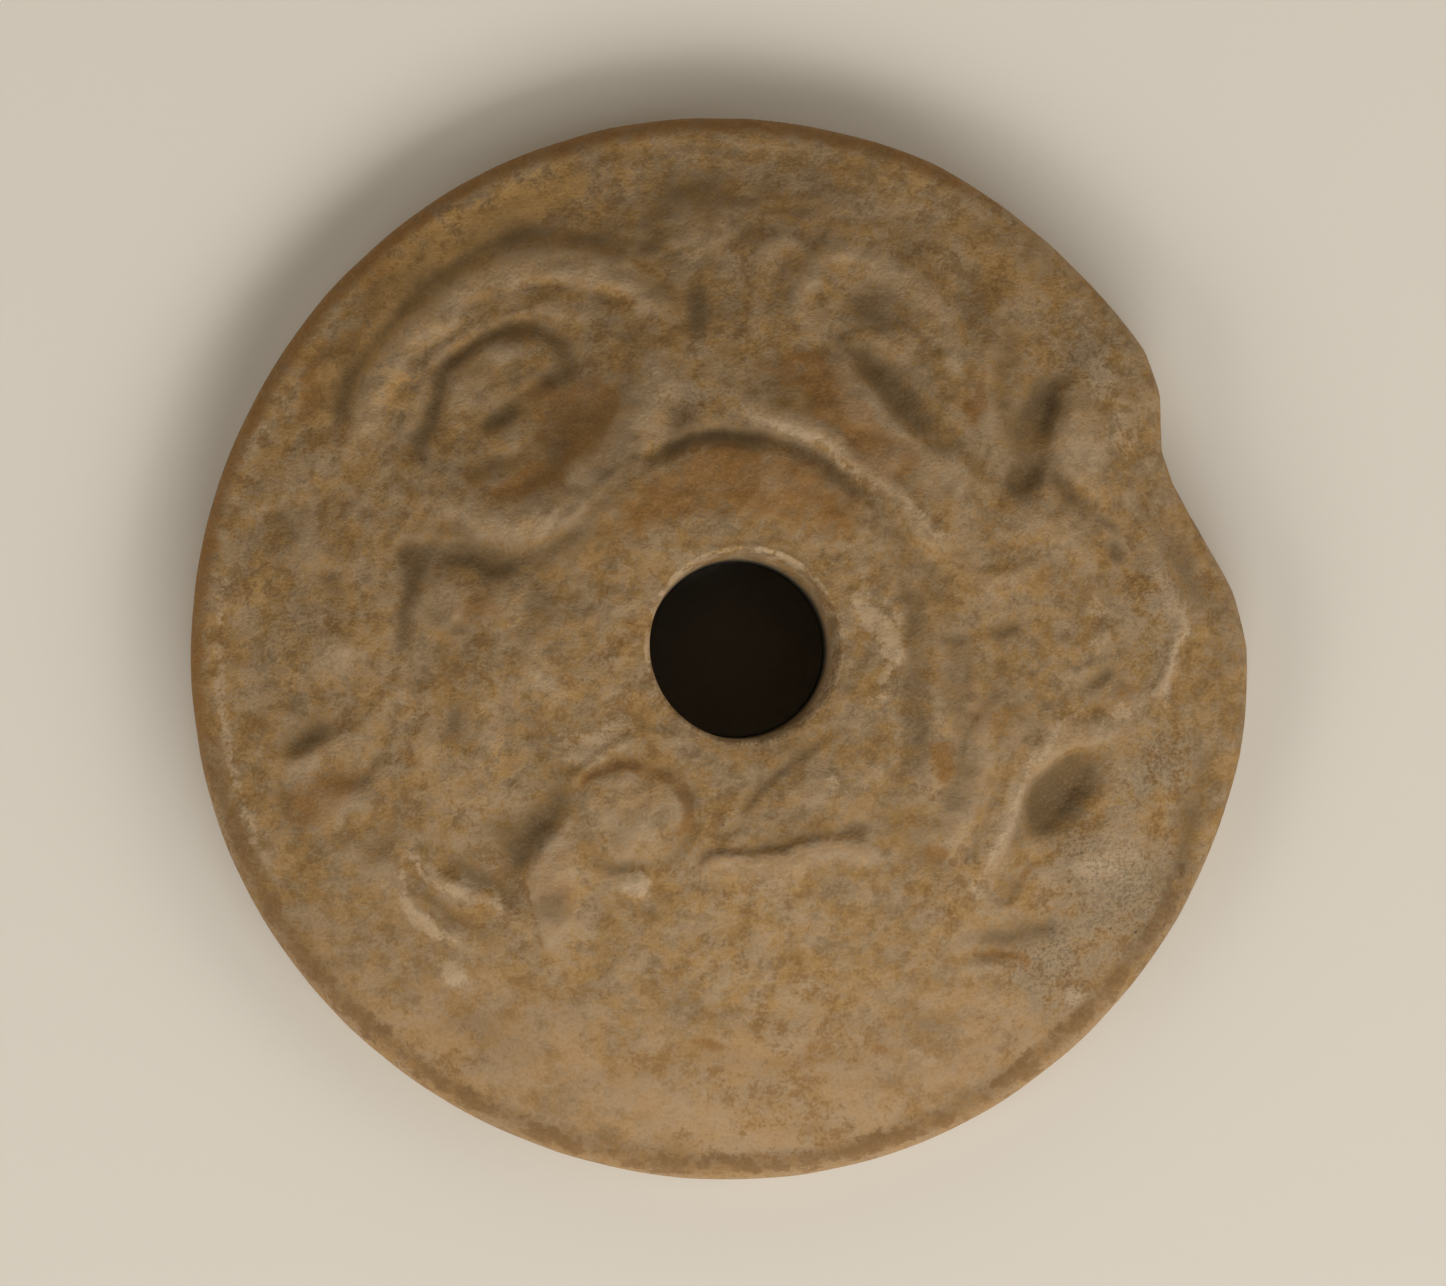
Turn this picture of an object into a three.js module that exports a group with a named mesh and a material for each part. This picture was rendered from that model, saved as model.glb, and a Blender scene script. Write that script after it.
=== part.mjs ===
// Clay spindle whorl: a mould-made, low-fired disc with a spindle hole, a raised
// collar round the hole, a low dome carved with scrolls and bosses, and a plain
// flange. It lies on its flat underside, which is z = 0. +Z runs up the spindle
// hole, and the origin is the middle of the underside. All sizes in millimetres.
import * as THREE from 'three';

// --- Driving dimensions ---------------------------------------------------
const discRadius = 29.8;
const flangeHeight = 4.9; // top of the plain flange, just inside the rim
const rimRound = 1.5;
const footRound = 1.4;

const boreRadius = 4.9;
const boreCentre = [0.8, -0.1];
const lipLean = [0.3, 0.3]; // how far the worn lip sits off the hole's middle
const lipFlare = 0.3;
const lipRound = 0.5;

const collarTop = 11.6;
const collarRadius = 11.1;
const collarCentre = [0.2, 0.2];
const collarStep = 0.45; // extra height of the collar's upper half
const domeFoot = 28.4; // radius at which the dome has fallen to the flange

const angleSteps = 108;
const faceSteps = 33;

const clayColour = 0x8a6f4e;

// --- Small maths ----------------------------------------------------------
const { PI, abs, cos, hypot, max, min, sin } = Math;
const radians = (degrees) => (degrees * PI) / 180;
const smooth = (low, high, value) => THREE.MathUtils.smoothstep(value, low, high);
const mix = THREE.MathUtils.lerp;

// A rounded bump, 1 in the middle and 0 from reach outwards.
const bump = (distance, reach) => {
  const part = distance / reach;
  return part < 1 ? (1 - part * part) ** 2 : 0;
};

// --- Outline of the disc --------------------------------------------------
// The rim is a circle worn by a tenth of a millimetre, with one bite broken out
// of it on the right. Each row is an angle in degrees and how much is gone there.
const brokenBite = [
  [-12, 0], [0, 0.3], [6, 0.9], [11, 1.85], [16, 2.6], [20, 2.95],
  [24, 2.85], [27, 2.2], [30, 1.45], [35, 0.85], [48, 0.65], [66, 0],
].map(([angle, depth]) => new THREE.Vector2(angle, depth));

function biteDepth(degrees) {
  const after = brokenBite.findIndex((point) => point.x > degrees);
  if (after < 1) return 0;
  const [from, to] = [brokenBite[after - 1], brokenBite[after]];
  return mix(from.y, to.y, (degrees - from.x) / (to.x - from.x));
}

function rimRadius(angle) {
  const degrees = ((angle * 180) / PI + 180) % 360 - 180;
  const wear = 0.1 * cos(4 * (angle - radians(113))) + 0.05 * cos(angle + radians(60));
  return discRadius + wear - biteDepth(degrees);
}

// --- The carving ----------------------------------------------------------
// A stroke is a rounded ridge (rise > 0) or groove (rise < 0) along a smooth
// line through a few points. A ledge rises abruptly at its line and dies away
// on the line's left. A swell is a rounded oval, turned by degrees.
function alongCurve(points) {
  const knots = points.map(([x, y]) => new THREE.Vector3(x, y, 0));
  return new THREE.CatmullRomCurve3(knots, false, 'catmullrom').getPoints(points.length * 4);
}

function stroke(width, rise, ...points) {
  return { reach: width / 2, rise, overrun: 0.35, line: alongCurve(points) };
}

function ledge(width, rise, ...points) {
  return { reach: width, rise, overrun: 0, oneSided: true, line: alongCurve(points) };
}

function swell(rise, x, y, across, along, turn = 0) {
  return { rise, x, y, across, along, turn: radians(turn) };
}

const upperLeftScroll = [
  stroke(4.4, -0.22, [-22.6, 13], [-21, 16.8], [-18.4, 20.2], [-14.8, 22.9], [-10.6, 24.3],
    [-4.2, 25.2]),
  stroke(2.0, -0.3, [-21.2, 12.4], [-20.2, 16.2], [-17.9, 18.9], [-13.8, 21.9], [-9.4, 23.2],
    [-5.2, 22.5]),
  stroke(3.2, 0.34, [-20, 10.4], [-19.3, 14.4], [-17.4, 17.5], [-14.8, 19.7], [-9, 21.6],
    [-4, 19.4], [-2.8, 17.4]),
  stroke(2.0, 0.24, [-16.9, 12.8], [-15.4, 16.5], [-11.6, 18.7], [-8, 18.5]),
  stroke(1.9, -0.34, [-17, 10.2], [-15.8, 14], [-14, 16.6], [-10.6, 18], [-8.7, 16.1], [-10.8, 14.1]),
  stroke(2.2, 0.2, [-14.9, 11.8], [-14.6, 14], [-11.6, 16.5], [-10.4, 15.8]),
  stroke(2.0, -0.34, [-13.5, 12.2], [-10.7, 13.9]),
  swell(-0.2, -8.6, 12.2, 2.6, 3.2, -35),
  stroke(4.4, 0.5, [-16, 9.4], [-14, 7.6], [-11.2, 7.1], [-8.6, 8], [-6.2, 10.2], [-3.4, 14.8],
    [-2.6, 17]),
  stroke(3.2, 0.16, [-24, 9.8], [-22, 9.8], [-20.4, 8.6]),
];

const topCentre = [
  swell(0.32, -1, 23.2, 2.6, 1.9),
  stroke(2.0, -0.3, [-5.6, 22.6], [-4, 24.4], [-0.6, 26.1], [1.8, 25.6]),
  stroke(2.0, -0.32, [-2, 21.6], [-1.6, 18.6], [-1.9, 17.2]),
  stroke(4.4, -0.2, [-4, 25.4], [0, 26.4], [4, 26.2], [8, 25]),
  swell(-0.3, -2.6, 13.2, 2.0, 1.8, 30),
];

const upperRightScroll = [
  stroke(4.0, -0.2, [7, 25.4], [10.6, 23.8], [13.4, 21.2], [15.4, 18]),
  stroke(2.0, 0.22, [1.3, 16.4], [1.8, 18.8], [3, 22.7], [4.8, 23.2]),
  stroke(2.6, 0.3, [4.9, 17.6], [5.2, 21.7], [9.4, 21.6], [12.5, 17.4], [13.2, 15]),
  stroke(2.2, 0.16, [14.4, 17.4], [14.9, 12.6], [14.9, 10.4]),
  swell(-0.4, 8.4, 19.4, 2.7, 1.7, -8),
  ledge(4.6, 0.45, [16, 8.2], [11.8, 11.2], [8, 15], [5.4, 18.2]),
  stroke(2.4, -0.3, [6.8, 16.8], [8.6, 15.2], [12, 12]),
  stroke(2.4, 0.4, [0.6, 14.6], [4, 12.6], [8.4, 10.1], [11.2, 6.6], [12.4, 5]),
  stroke(3.0, -0.2, [8, 8], [11.6, 4], [12.6, 1.4]),
];

const rightSide = [
  stroke(2.6, -0.5, [19.6, 16.2], [17.6, 12.8], [16.8, 9.6]),
  swell(-0.5, 16.9, 9.5, 1.9, 1.7, 10),
  stroke(2.0, -0.3, [17.6, 9.6], [20, 8], [22.5, 6.2]),
  ledge(4.2, 0.42, [20.4, 17], [18.6, 13.4], [18.9, 9.9], [22, 7.2]),
  stroke(3.0, 0.24, [15, 6.8], [18.6, 6.6], [20.4, 3.6]),
  stroke(2.0, 0.2, [13, 3.9], [16.6, 4.1], [18, 5]),
  stroke(2.0, 0.24, [23.2, 7.2], [24.8, 3.2], [25.3, 0.6], [24, -3.2]),
  stroke(3.6, -0.14, [26.4, -2], [26.8, -5], [25, -13]),
];

const arm = [
  stroke(3.2, 0.26, [12.6, -0.8], [14.4, -5.4], [12, -11.8]),
  ledge(2.4, 0.38, [14.4, -14.2], [16.5, -9.2], [18.6, -6.1], [22.8, -4.6]),
  swell(-0.5, 19, -7.8, 1.9, 3.6, -45),
  swell(0.4, 21.4, -11.6, 3.6, 2.8, 30),
  stroke(2.0, -0.22, [13.8, -15.7], [19, -15.7]),
];

const roundTheHole = [
  stroke(2.0, -0.3, [-9.6, 5], [-7.4, 7.7], [-4.6, 9.9], [0, 11.7], [4.8, 10.6], [8, 8.6]),
  stroke(2.6, -0.28, [9.6, 5], [10.9, -0.4], [10.4, -6.4], [9.2, -8.8]),
  ledge(2.4, 0.14, [-4.6, 3.3], [-6.9, 0], [-7, -3.6]),
  stroke(1.8, -0.2, [0.9, -9.4], [2.6, -7.2], [6.2, -4.4]),
  swell(0.25, 5, -8, 3.0, 1.5, 20),
];

const head = [
  swell(0.36, -4.8, -9.4, 3.9, 3.8),
  ledge(4.0, 0.45, [-8.4, -7.8], [-10, -11], [-10.2, -15], [-9.4, -18.6]),
  swell(0.22, -9, -11.9, 1.6, 2.0, 20),
  ledge(3.4, 0.36, [9.4, -13], [7, -10.5], [3.6, -11.1], [-0.2, -11.3], [-1.6, -13.6]),
  swell(0.2, 3.8, -13.8, 5.0, 2.6),
  stroke(2.6, -0.2, [9.6, -13.8], [11.2, -9]),
];

const leftSide = [
  swell(-0.5, -17.1, 4.9, 1.6, 1.8, 20),
  stroke(2.2, -0.4, [-17.4, 5.3], [-13.6, 5.2], [-10, 4.9]),
  stroke(4.6, -0.24, [-9.8, 5.4], [-9, 1.4]),
  swell(0.34, -15.4, 2.2, 2.4, 2.0),
  swell(0.3, -12, 2.6, 2.6, 2.0),
  stroke(4.0, 0.24, [-10.4, 1], [-8, -3.4]),
  stroke(2.6, 0.16, [-16.4, -3], [-16.2, -6], [-12.6, -8]),
  stroke(2.0, -0.34, [-25, -5.6], [-22.3, -4.4], [-21.1, -3.8]),
  ledge(2.4, 0.26, [-18.8, -4.2], [-21.2, -4.9], [-25.2, -6.8]),
  stroke(4.6, -0.16, [-25.4, -3.4], [-20.8, -2.4]),
  stroke(2.6, 0.18, [-23.4, -8.4], [-21.6, -9], [-18.2, -7.2]),
  stroke(2.6, -0.38, [-8.9, -7], [-10.4, -10.2], [-11.4, -13.4]),
  swell(-0.26, -12, -10.2, 2.6, 2.4, 30),
];

const bracket = [
  stroke(1.8, 0.26, [-17.8, -12.1], [-15.4, -12.8], [-10.8, -15.8]),
  stroke(1.8, 0.24, [-17.9, -12], [-17, -14.5], [-13.8, -16.6]),
  swell(0.16, -19, -12.6, 2.0, 3.0),
  swell(0.2, -15.2, -18.4, 1.3, 1.9, 90),
];

const flangeWear = [
  stroke(5.0, 0.14, [-16, -23], [-8, -25], [0, -25.6], [8, -25], [16, -22.6]),
  stroke(3.0, -0.12, [-4, -20.6], [4, -20.6], [13, -20.2]),
];

const carving = [
  ...upperLeftScroll, ...topCentre, ...upperRightScroll, ...rightSide, ...arm,
  ...roundTheHole, ...head, ...leftSide, ...bracket, ...flangeWear,
];

// How far a spot is from a line (negative on its right), and how far along.
function placeOnLine(line, x, y) {
  const place = { away: Infinity, along: 0, length: 0 };
  for (let i = 1; i < line.length; i += 1) {
    const [a, b] = [line[i - 1], line[i]];
    const [ux, uy] = [b.x - a.x, b.y - a.y];
    const stretch = hypot(ux, uy);
    const t = min(1, max(0, ((x - a.x) * ux + (y - a.y) * uy) / stretch ** 2));
    const away = hypot(x - mix(a.x, b.x, t), y - mix(a.y, b.y, t));
    if (away < abs(place.away)) {
      place.away = ux * (y - a.y) - uy * (x - a.x) > 0 ? away : -away;
      place.along = place.length + t * stretch;
    }
    place.length += stretch;
  }
  return place;
}

function markHeight(mark, x, y) {
  if (mark.line) {
    const { away, along, length } = placeOnLine(mark.line, x, y);
    const fade = min(2 * mark.reach, 0.45 * length);
    const start = -mark.overrun * fade;
    const ends = smooth(start, fade, along) * smooth(start, fade, length - along);
    const rising = mark.oneSided ? smooth(-0.45, 0.35, away) : 1;
    return mark.rise * rising * ends * bump(abs(away), mark.reach);
  }
  const [dx, dy] = [x - mark.x, y - mark.y];
  const across = (dx * cos(mark.turn) + dy * sin(mark.turn)) / mark.across;
  const along = (dy * cos(mark.turn) - dx * sin(mark.turn)) / mark.along;
  return mark.rise * bump(hypot(across, along), 1);
}

// Where ridges cross, the higher one mostly shows; where grooves cross, the deeper.
function carvedRelief(x, y) {
  const heights = carving.map((mark) => markHeight(mark, x, y));
  const blend = (sign) => heights.reduce((sum, height) => sum + max(0, sign * height) ** 4, 0) ** 0.25;
  return blend(1) - blend(-1);
}

// --- The upper face -------------------------------------------------------
// The dome falls in a soft curve from the collar to the flange. The broken bite
// leaves a sloping scar, from scarFrom to scarTo, that falls towards the rim.
const scarFrom = [23.6, 7.2];
const scarTo = [28.6, -0.6];
const scarSlope = 0.8;

function scarDepth(x, y) {
  const [sx, sy] = [scarTo[0] - scarFrom[0], scarTo[1] - scarFrom[1]];
  const length = hypot(sx, sy);
  const beyond = (-(x - scarFrom[0]) * sy + (y - scarFrom[1]) * sx) / length;
  const along = ((x - scarFrom[0]) * sx + (y - scarFrom[1]) * sy) / length ** 2;
  return scarSlope * max(0, beyond) * smooth(-0.7, 0.1, along);
}

function faceHeight(x, y) {
  const radius = hypot(x, y);
  const inner = collarRadius - 0.6;
  const fall = min(1, max(0, radius - inner) / (domeFoot - inner)) ** 1.12;
  const dome = collarTop - 0.25 * smooth(5, 11, radius) - (collarTop - flangeHeight) * fall;
  const fromCollar = hypot(x - collarCentre[0], y - collarCentre[1]);
  const collarEdge = 1 - smooth(collarRadius - 0.4, collarRadius + 0.6, fromCollar);
  const collar = collarStep * smooth(3, 9, y) * collarEdge;
  return dome + collar + carvedRelief(x, y) - scarDepth(x, y);
}

// --- One closed skin ------------------------------------------------------
// At each angle a closed loop runs up the hole, over the lip, across the face,
// round the rim and back along the underside. Neighbouring loops are joined.
function loopAt(angle) {
  const [c, s] = [cos(angle), sin(angle)];
  const holeAt = (radius, lean) => [
    boreCentre[0] + lipLean[0] * lean + radius * c,
    boreCentre[1] + lipLean[1] * lean + radius * s,
  ];
  const rim = rimRadius(angle);
  const rimAt = (inset) => [(rim - inset) * c, (rim - inset) * s];

  const lip = holeAt(boreRadius + lipFlare + lipRound, 1);
  const shoulder = rimAt(rimRound);
  const lipTop = faceHeight(...lip);
  const rimTop = faceHeight(...shoulder);

  const loop = [
    [...holeAt(boreRadius, 0), 0],
    [...holeAt(boreRadius, 0), lipTop * 0.7],
    [...holeAt(boreRadius + lipFlare, 1), lipTop - lipRound],
  ];
  for (let step = 0; step <= faceSteps; step += 1) {
    const part = step / faceSteps;
    const [x, y] = [mix(lip[0], shoulder[0], part), mix(lip[1], shoulder[1], part)];
    loop.push([x, y, faceHeight(x, y)]);
  }
  loop.push([...rimAt(rimRound * 0.3), rimTop - rimRound * 0.35]);
  loop.push([...rimAt(0), rimTop - rimRound]);
  loop.push([...rimAt(0), footRound]);
  loop.push([...rimAt(footRound * 0.3), footRound * 0.3]);
  loop.push([...rimAt(footRound), 0]);
  return loop;
}

function whorlGeometry() {
  const loops = [];
  for (let step = 0; step < angleSteps; step += 1) {
    loops.push(loopAt((2 * PI * step) / angleSteps));
  }
  const rows = loops[0].length;
  const indices = [];
  for (let step = 0; step < angleSteps; step += 1) {
    const next = (step + 1) % angleSteps;
    for (let row = 0; row < rows; row += 1) {
      const above = (row + 1) % rows;
      const [a, b] = [step * rows + row, next * rows + row];
      const [c, d] = [step * rows + above, next * rows + above];
      indices.push(a, c, b, b, c, d);
    }
  }
  const geometry = new THREE.BufferGeometry();
  geometry.setAttribute('position', new THREE.Float32BufferAttribute(loops.flat(2), 3));
  geometry.setIndex(indices);
  geometry.computeVertexNormals();
  return geometry;
}

const clay = new THREE.MeshStandardMaterial({
  color: clayColour,
  roughness: 0.85,
  metalness: 0,
});

const whorl = new THREE.Mesh(whorlGeometry(), clay);
whorl.name = 'whorl';

const group = new THREE.Group();
group.add(whorl);

export default group;
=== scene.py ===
import bpy
import numpy as np
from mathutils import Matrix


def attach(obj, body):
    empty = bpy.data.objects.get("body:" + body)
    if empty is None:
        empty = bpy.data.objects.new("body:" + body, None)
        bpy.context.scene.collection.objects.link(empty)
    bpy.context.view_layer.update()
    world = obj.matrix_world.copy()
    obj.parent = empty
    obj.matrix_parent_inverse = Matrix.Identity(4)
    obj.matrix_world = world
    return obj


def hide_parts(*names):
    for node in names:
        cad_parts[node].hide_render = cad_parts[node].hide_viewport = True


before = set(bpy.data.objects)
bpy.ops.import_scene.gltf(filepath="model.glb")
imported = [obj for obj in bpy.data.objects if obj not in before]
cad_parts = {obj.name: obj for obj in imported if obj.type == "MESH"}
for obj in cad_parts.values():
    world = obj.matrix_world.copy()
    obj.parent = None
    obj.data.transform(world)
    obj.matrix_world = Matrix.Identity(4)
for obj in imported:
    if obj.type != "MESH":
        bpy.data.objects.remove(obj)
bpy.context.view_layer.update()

# ---------------------------------------------------------------------------
# The whorl. One solid disc of low-fired clay, pressed in a mould that left a
# worn relief on its upper face, with the spindle hole pushed through before
# firing. It is laid out in millimetres from the middle of its underside.
# ---------------------------------------------------------------------------
MM = 0.001

disc_radius = 29.8
bore_radius = 4.9
bore_centre = (0.8, -0.1)
lip_lean = (0.5, 0.25)
lip_flare = 0.35
lip_round = 0.35
collar_centre = (0.2, 0.2)
collar_radius = 11.1
collar_step = 0.45
collar_top = 11.6
collar_sag = 0.25
slope_start = collar_radius - 0.6
dome_foot = 28.4
dome_curve = 1.12
flange_height = 4.9
rim_round = 1.5
foot_round = 1.4


def smooth(low, high, value):
    """Nought below low, one above high, and an even S-curve between."""
    part = np.clip((value - low) / (high - low), 0, 1)
    return part * part * (3 - 2 * part)


def bump(part):
    """One at nought, falling in a round shoulder to nought at one: (1 - part squared) squared."""
    return (1 - np.clip(np.abs(part), 0, 1) ** 2) ** 2


def turned(degrees):
    """How far a step of one goes across and up when it is turned by this angle."""
    return np.cos(np.radians(degrees)), np.sin(np.radians(degrees))


def smooth_line(points, steps=6):
    """A curve through the points, each stretch a cubic whose ends lean along their neighbours."""
    knots = np.array(points, float)
    knots = np.vstack([2 * knots[0] - knots[1], knots, 2 * knots[-1] - knots[-2]])
    t = np.linspace(0, 1, steps, endpoint=False)[:, None]
    stretches = []
    for before, start, end, after in zip(knots, knots[1:], knots[2:], knots[3:]):
        lean_in, lean_out = (end - before) / 2, (after - start) / 2
        bend = 3 * (end - start) - 2 * lean_in - lean_out
        twist = 2 * (start - end) + lean_in + lean_out
        stretches.append(start + lean_in * t + bend * t**2 + twist * t**3)
    return np.vstack(stretches + [knots[-2:-1]])


def along_line(line, x, y):
    """For every point: its distance from the line (negative on the right), and how far along it lies."""
    nearest, along, run = np.full(x.shape, np.inf), np.zeros(x.shape), 0.0
    signed = np.zeros(x.shape)
    for (ax, ay), (bx, by) in zip(line, line[1:]):
        ux, uy = bx - ax, by - ay
        length = np.hypot(ux, uy)
        part = np.clip(((x - ax) * ux + (y - ay) * uy) / length**2, 0, 1)
        distance = np.hypot(x - ax - part * ux, y - ay - part * uy)
        closer = distance < nearest
        left = ux * (y - ay) - uy * (x - ax) > 0
        nearest = np.where(closer, distance, nearest)
        signed = np.where(closer, np.where(left, distance, -distance), signed)
        along = np.where(closer, run + part * length, along)
        run += length
    return signed, along, run


def grain(x, y, z, size, seed):
    """Smooth random swells: a seeded lattice of heights, blended evenly between its corners."""
    lattice = np.random.default_rng(seed).uniform(-1, 1, (32, 32, 32))
    spots = [np.asarray(axis, float) / size + 1000 for axis in (x, y, z)]
    cells = [np.floor(spot).astype(int) for spot in spots]
    parts = [smooth(0, 1, spot - cell) for spot, cell in zip(spots, cells)]
    total = 0.0
    for corner in np.ndindex(2, 2, 2):
        weight = 1.0
        for part, side in zip(parts, corner):
            weight = weight * (part if side else 1 - part)
        total = total + weight * lattice[tuple((c + s) % 32 for c, s in zip(cells, corner))]
    return total


class Patch:
    """Marks laid one by one: raised ones and sunk ones are kept apart and blended softly."""

    blend_power = 4

    def __init__(self, x, y, wander):
        level = 0 * x
        self.x = x + wander * (grain(x, y, level, 2.6, 11) + 0.4 * grain(x, y, level, 0.9, 12))
        self.y = y + wander * (grain(x, y, level, 2.6, 13) + 0.4 * grain(x, y, level, 0.9, 14))
        self.raised, self.sunk, self.soil_and_shade = (np.zeros(x.shape) for _ in range(3))

    def add(self, near, shape, rise):
        """One mark's height to a high power, summed, so that the tallest mark at a spot wins softly."""
        side = self.raised if rise > 0 else self.sunk
        side[near] += (shape * abs(rise)) ** self.blend_power

    def trace(self, reach, points, overrun):
        """Where a line's surroundings are, how far each spot is from it, and the fade at both ends."""
        line = smooth_line(points)
        low, high = line.min(axis=0) - reach, line.max(axis=0) + reach
        near = (self.x > low[0]) & (self.x < high[0]) & (self.y > low[1]) & (self.y < high[1])
        distance, along, length = along_line(line, self.x[near], self.y[near])
        fade = min(reach, 0.45 * length)
        start = -overrun * fade
        ends = smooth(start, fade, along) * smooth(start, fade, length - along)
        return near, distance, ends

    def stroke(self, width, rise, *points):
        """A ridge or groove along a smooth line, round across and fading at both ends."""
        near, distance, ends = self.trace(width, points, 0.35)
        self.add(near, bump(2 * distance / width) * ends, rise)

    def cut(self, width, depth, soil_and_shade_strength, *points):
        """A groove with earth caught along its bottom, laid darker there as earth and painted shade."""
        near, distance, ends = self.trace(width, points, 0.35)
        self.add(near, bump(2 * distance / width) * ends, -depth)
        self.soil_and_shade[near] = np.maximum(self.soil_and_shade[near], soil_and_shade_strength * bump(1.25 * distance / width) * ends)

    def ledge(self, width, rise, *points):
        """A band that rises abruptly at the line and dies away evenly on the line's left."""
        near, distance, ends = self.trace(width, points, 0.0)
        rising = smooth(-0.45, 0.35, distance)
        self.add(near, rising * bump(distance / width) * ends, rise)

    def swell(self, rise, x, y, across, along, turn=0):
        """A round or oval mound or hollow, its second radius turned from the y axis."""
        near, part = self.oval(x, y, across, along, turn)
        self.add(near, bump(part), rise)

    def pit(self, depth, soil_and_shade_strength, x, y, across, along, turn=0):
        """An oval hollow with earth caught in it, laid darker as earth and painted shade."""
        near, part = self.oval(x, y, across, along, turn)
        self.add(near, bump(part), -depth)
        self.soil_and_shade[near] = np.maximum(self.soil_and_shade[near], soil_and_shade_strength * bump(0.85 * part))

    def oval(self, x, y, across, along, turn):
        """Where an oval's surroundings are, and how far out each spot is: one at the oval's edge."""
        reach = 1.2 * max(across, along)
        near = (abs(self.x - x) < reach) & (abs(self.y - y) < reach)
        cos, sin = turned(turn)
        dx, dy = self.x[near] - x, self.y[near] - y
        return near, np.hypot((dx * cos + dy * sin) / across, (dy * cos - dx * sin) / along)

    def height(self):
        """The root of each sum: what is raised less what is sunk."""
        power = 1 / self.blend_power
        return self.raised**power - self.sunk**power


# The carving, drawn as a maker would: strokes, cuts, ledges and swells, part by part.
def carve_upper_left_scroll(face):
    face.stroke(4.4, -0.08, (-22.6, 13), (-21, 16.8), (-18.4, 20.2), (-14.8, 22.9), (-10.6, 24.3),
                (-6.6, 24.8), (-4.2, 25.2))
    face.cut(1.8, 0.22, 0.55, (-21.6, 11.8), (-20.9, 14), (-20.4, 15.9), (-19.4, 17.3), (-17.9, 18.9),
             (-16, 20.3), (-13.8, 21.9), (-11.6, 22.8), (-9.4, 23.2), (-7.2, 22.9), (-5.2, 22.5))
    face.cut(1.9, 0.2, 0.6, (-5.6, 22.6), (-4.1, 23), (-4, 24.4), (-2.6, 25.5), (-0.6, 26.1), (1.8, 25.6))
    face.pit(0.12, 0.5, -19.6, 16.6, 1.5, 0.8, 50)
    face.stroke(3.2, 0.34, (-20, 10.4), (-19.3, 14.4), (-17.4, 17.5), (-14.8, 19.7), (-12, 21.2),
                (-9, 21.6), (-6.2, 20.9), (-4, 19.4), (-2.8, 17.4))
    face.cut(1.0, 0.13, 0.25, (-14.9, 18.9), (-12.8, 19.8), (-10.6, 20.5), (-8.4, 20.2), (-6.4, 19.7),
             (-5, 18.7))
    face.stroke(1.7, 0.22, (-16.9, 12.8), (-16.2, 14.8), (-15.4, 16.5), (-13.6, 17.9), (-11.6, 18.7),
                (-9.6, 19.1), (-8, 18.5))
    face.cut(1.7, 0.28, 0.55, (-17, 10.2), (-16.5, 12.2), (-15.8, 14), (-15.2, 15.4), (-14, 16.6),
             (-12.4, 17.6), (-10.6, 18), (-9.1, 17.3), (-8.7, 16.1), (-9.5, 15), (-10.8, 14.1))
    face.stroke(2.2, 0.18, (-14.9, 11.8), (-14.6, 14), (-13.2, 15.6), (-11.6, 16.5), (-10.4, 15.8))
    face.cut(1.6, 0.3, 0.8, (-13.5, 12.2), (-12.1, 13.1), (-10.7, 13.9))
    face.pit(0.2, 0.4, -8.6, 12.2, 2.6, 3.2, -35)
    face.stroke(4.4, 0.5, (-16, 9.4), (-14, 7.6), (-11.2, 7.1), (-8.6, 8), (-6.2, 10.2), (-4.6, 12.6),
                (-3.4, 14.8), (-2.6, 17))
    face.stroke(2.4, 0.14, (-15, 12), (-14.4, 9.8), (-12, 9.6), (-9.6, 10.6))
    face.cut(1.4, 0.14, 0.3, (-14.9, 10.6), (-13.4, 9.9), (-11.6, 10.5), (-10.2, 10.8))
    face.cut(1.2, 0.16, 0.5, (-24.6, 10.7), (-23.4, 11.6), (-22, 12.2), (-21, 12.9))
    face.stroke(3.2, 0.16, (-24, 9.8), (-22, 9.8), (-20.4, 8.6))
    face.pit(0.16, 0.35, -24.8, 7.3, 1.9, 0.9)


def carve_lower_left_trough(face):
    face.pit(0.5, 0.8, -17.1, 4.9, 1.3, 1.5, 20)
    face.cut(1.3, 0.3, 0.6, (-17.6, 5.6), (-17.2, 3.8), (-17.5, 2), (-17.9, -0.6))
    face.cut(2.2, 0.36, 0.65, (-17.4, 5.3), (-15.4, 5), (-13.6, 5.2), (-11.8, 4.9), (-10, 4.9))
    face.pit(0.14, 0.7, -13.4, 5, 1.2, 0.9)
    face.stroke(4.6, -0.24, (-9.8, 5.4), (-9.4, 3.4), (-9, 1.4))
    face.cut(1.2, 0.22, 0.45, (-9.6, 5), (-8.4, 6.4), (-7.4, 7.7), (-6.2, 8.8), (-4.6, 9.9), (-2.8, 10.9))
    face.cut(1.4, 0.24, 0.7, (-3.6, 10.4), (-2, 11.3), (0, 11.7), (1.8, 11.6), (3.4, 11.4))
    face.cut(1.5, 0.16, 0.25, (3, 11.5), (4.8, 10.6), (6.4, 9.6), (8, 8.6))
    face.pit(0.3, 0.15, -2.6, 13.2, 2.0, 1.8, 30)


def carve_top_knob(face):
    face.swell(0.32, -1, 23.2, 2.6, 1.9)
    face.pit(0.08, 0.3, -0.4, 23.7, 0.7, 0.5)
    face.cut(1.9, 0.28, 0.7, (-2, 21.6), (-1.5, 20), (-1.6, 18.6), (-1.9, 17.2))
    face.cut(1.0, 0.16, 0.5, (2, 25), (3.2, 24.5), (4.6, 24.6), (5.8, 25))
    face.cut(0.9, 0.12, 0.4, (0.2, 22.2), (1, 23), (2.2, 24))
    face.stroke(4.4, -0.2, (-4, 25.4), (0, 26.4), (4, 26.2), (8, 25))


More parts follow.
